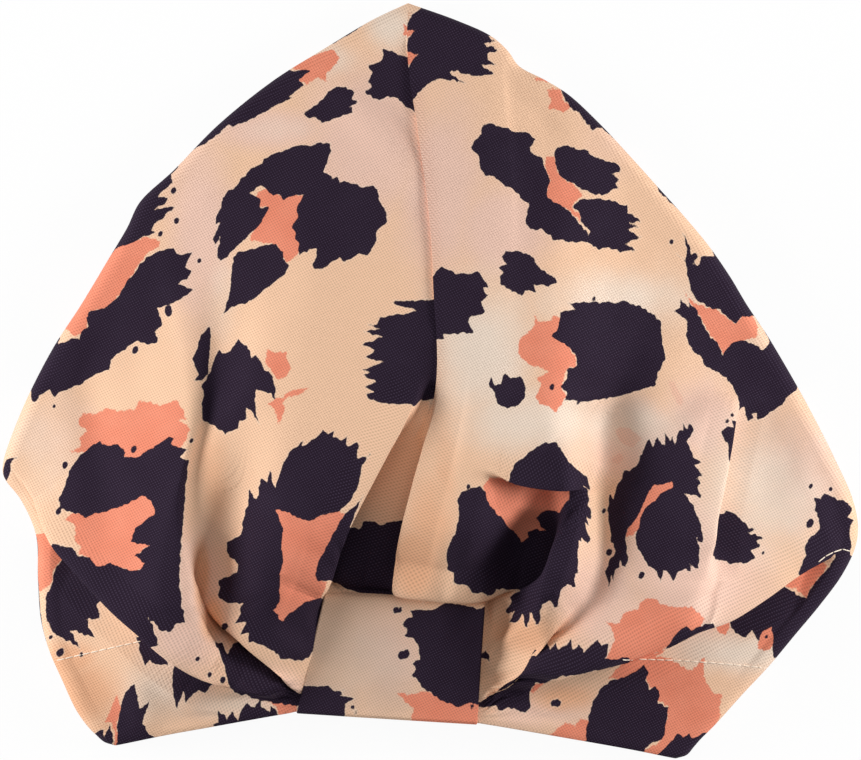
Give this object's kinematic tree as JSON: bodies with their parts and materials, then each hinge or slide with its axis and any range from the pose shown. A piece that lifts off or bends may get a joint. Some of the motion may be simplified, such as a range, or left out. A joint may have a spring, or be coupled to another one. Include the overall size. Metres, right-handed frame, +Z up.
{
  "type": "turban shower cap",
  "caption": "Turban-style shower cap of printed cloth over a waterproof lining, pleats gathered by a cloth loop at the front rim, elastic at the back rim.",
  "frame": {"origin": "on the surface that the cap lies on, under the middle of its box", "axes": "+X across the cap from its left side to its right as seen in the picture, +Y from the front rim to the crown tip, +Z up out of the pleated front"},
  "size_m": [0.2908, 0.257, 0.0627],
  "materials": {
    "printed_cloth": "plain-woven polyester with a soft sheen, leopard print in dark plum and coral on peach",
    "lining_film": "thin frosted waterproof film",
    "elastic_weave": "flat woven elastic"
  },
  "bodies": {
    "root": {"left_crown_panel": "printed_cloth", "right_crown_panel": "printed_cloth", "left_lining_panel": "lining_film", "right_lining_panel": "lining_film", "left_front_facing": "printed_cloth", "right_front_facing": "printed_cloth", "back_casing": "printed_cloth", "elastic_band": "elastic_weave", "front_loop": "printed_cloth"}
  },
  "joints": []
}
